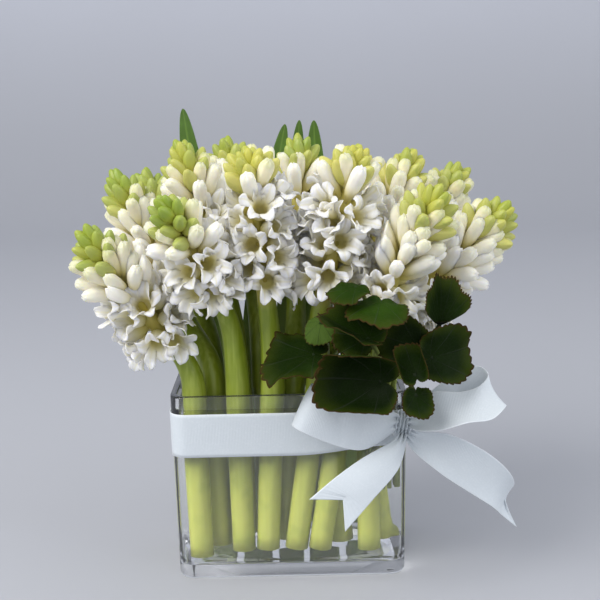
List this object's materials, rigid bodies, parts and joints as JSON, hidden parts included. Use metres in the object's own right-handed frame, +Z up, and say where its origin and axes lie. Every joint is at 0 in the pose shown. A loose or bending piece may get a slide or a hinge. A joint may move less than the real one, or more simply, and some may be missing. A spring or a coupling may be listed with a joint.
{
  "type": "hyacinth flower arrangement in a vase",
  "caption": "White hyacinths with green-tipped buds in a low rectangular glass vase of water, with round toothed leaves and a ribbon bow.",
  "frame": {"origin": "middle of the vase's foot, on the surface it stands on", "axes": "+Z up; +X to the right along the vase's long side; -Y is the front, where the bow and the round leaves are"},
  "size_m": [0.2411, 0.1674, 0.2671],
  "materials": {
    "glass": "clear, smooth pressed glass with a thick foot",
    "water": "clear still water",
    "stem": "smooth, slightly waxy fresh green stem and unopened buds",
    "floret": "waxy white petals, cream in the closed buds",
    "strap_leaf": "smooth, thick, softly glossy leaf with fine lengthwise veins",
    "round_leaf": "dark glossy leaf with fan veins and a toothed, partly bronze edge",
    "ribbon": "white ribbon with fine cross ribs"
  },
  "bodies": {
    "root": {"vase": "glass", "water": "water", "hyacinth_01_stem": "stem", "hyacinth_01_florets": "floret", "hyacinth_02_stem": "stem", "hyacinth_02_florets": "floret", "hyacinth_03_stem": "stem", "hyacinth_03_florets": "floret", "hyacinth_04_stem": "stem", "hyacinth_04_florets": "floret", "hyacinth_05_stem": "stem", "hyacinth_05_florets": "floret", "hyacinth_06_stem": "stem", "hyacinth_06_florets": "floret", "hyacinth_07_stem": "stem", "hyacinth_07_florets": "floret", "hyacinth_08_stem": "stem", "hyacinth_08_florets": "floret", "hyacinth_09_stem": "stem", "hyacinth_09_florets": "floret", "hyacinth_10_stem": "stem", "hyacinth_10_florets": "floret", "hyacinth_11_stem": "stem", "hyacinth_11_florets": "floret", "hyacinth_12_stem": "stem", "hyacinth_12_florets": "floret", "hyacinth_13_stem": "stem", "hyacinth_13_florets": "floret", "hyacinth_14_stem": "stem", "hyacinth_14_florets": "floret", "strap_leaf_1": "strap_leaf", "strap_leaf_2": "strap_leaf", "strap_leaf_3": "strap_leaf", "strap_leaf_4": "strap_leaf", "strap_leaf_5": "strap_leaf", "round_leaf_left": "round_leaf", "round_leaf_front_cup": "round_leaf", "round_leaf_folded": "round_leaf", "round_leaf_bright": "round_leaf", "round_leaf_top": "round_leaf", "round_leaf_middle": "round_leaf", "round_leaf_rolled": "round_leaf", "round_leaf_right": "round_leaf", "round_leaf_fan": "round_leaf", "round_leaf_low": "round_leaf", "round_leaf_behind": "round_leaf", "round_leaf_inner": "round_leaf", "ribbon_band": "ribbon", "bow_knot": "ribbon", "bow_loop_left": "ribbon", "bow_loop_right": "ribbon", "bow_tail_left": "ribbon", "bow_tail_right": "ribbon"}
  },
  "joints": []
}
